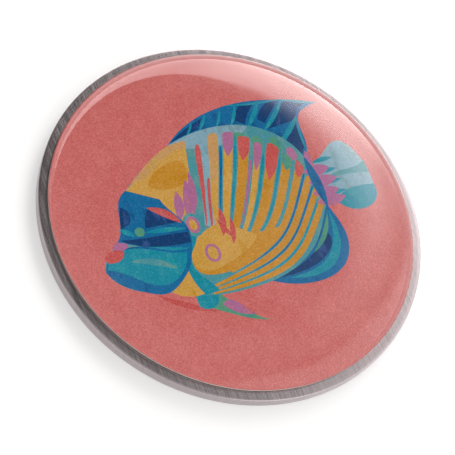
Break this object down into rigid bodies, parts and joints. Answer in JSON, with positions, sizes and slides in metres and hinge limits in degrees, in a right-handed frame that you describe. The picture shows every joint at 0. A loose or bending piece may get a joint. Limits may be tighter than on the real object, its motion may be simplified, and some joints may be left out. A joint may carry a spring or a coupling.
{
  "type": "golf ball marker",
  "caption": "Flat round steel golf ball marker with a printed reef fish picture under a clear poured resin dome.",
  "frame": {"origin": "centre of the steel disc's back face, on the surface that the marker lies on", "axes": "+Z out of the printed face, +Y up in the picture and along the brush lines, the fish faces -X"},
  "size_m": [0.025, 0.025, 0.0026],
  "materials": {
    "brushed_steel": "linear brushed on the face, satin on the wall",
    "adhesive": "pressure-sensitive adhesive, dull at its edge",
    "vinyl": "white vinyl film",
    "clear_resin": "clear glossy poured polyurethane",
    "coral_ink": "printed coral ink",
    "aqua_ink": "printed aqua ink",
    "turquoise_ink": "printed turquoise ink",
    "blue_ink": "printed blue ink",
    "navy_ink": "printed navy ink",
    "pale_blue_ink": "printed pale blue ink",
    "gold_ink": "printed gold ink",
    "ochre_ink": "printed ochre ink",
    "cream_ink": "printed cream ink",
    "red_ink": "printed red ink",
    "orchid_ink": "printed orchid ink",
    "green_ink": "printed green ink"
  },
  "bodies": {
    "root": {"steel_disc": "brushed_steel", "label_adhesive": "adhesive", "label_film": "vinyl", "resin_dome": "clear_resin", "ink_coral": "coral_ink", "ink_aqua": "aqua_ink", "ink_turquoise": "turquoise_ink", "ink_blue": "blue_ink", "ink_navy": "navy_ink", "ink_pale_blue": "pale_blue_ink", "ink_gold": "gold_ink", "ink_ochre": "ochre_ink", "ink_cream": "cream_ink", "ink_red": "red_ink", "ink_orchid": "orchid_ink", "ink_green": "green_ink"}
  },
  "joints": []
}
